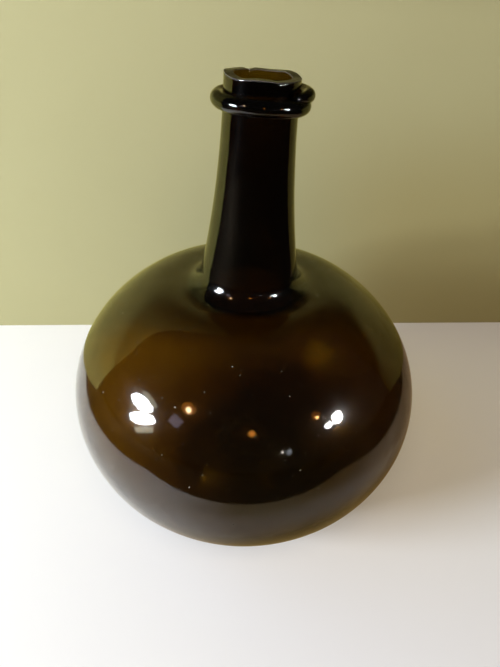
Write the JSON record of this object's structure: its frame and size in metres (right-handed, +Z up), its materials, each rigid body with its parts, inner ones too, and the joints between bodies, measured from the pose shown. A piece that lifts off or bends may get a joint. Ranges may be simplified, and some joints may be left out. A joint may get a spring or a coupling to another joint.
{
  "type": "bottle",
  "caption": "Large globular storage bottle of dark olive-amber blown glass, with a long flaring neck, a wound string rim under the open mouth and a kicked-up base.",
  "frame": {"origin": "on the table, under the middle of the globe", "axes": "+Z up the bottle, +X to the right in the picture, where the neck leans 1.5 degrees towards it, +Y away from the picture's camera"},
  "size_m": [0.3599, 0.36, 0.4407],
  "materials": {
    "bottle_glass": "free-blown olive-amber glass, glossy, with seeds, dust and scratches",
    "rim_glass": "hot-wound trail of the same glass, fire-polished",
    "scar_glass": "broken and worn glass, rough"
  },
  "bodies": {
    "root": {"blown_body": "bottle_glass", "string_rim": "rim_glass", "pontil_scar": "scar_glass"}
  },
  "joints": []
}
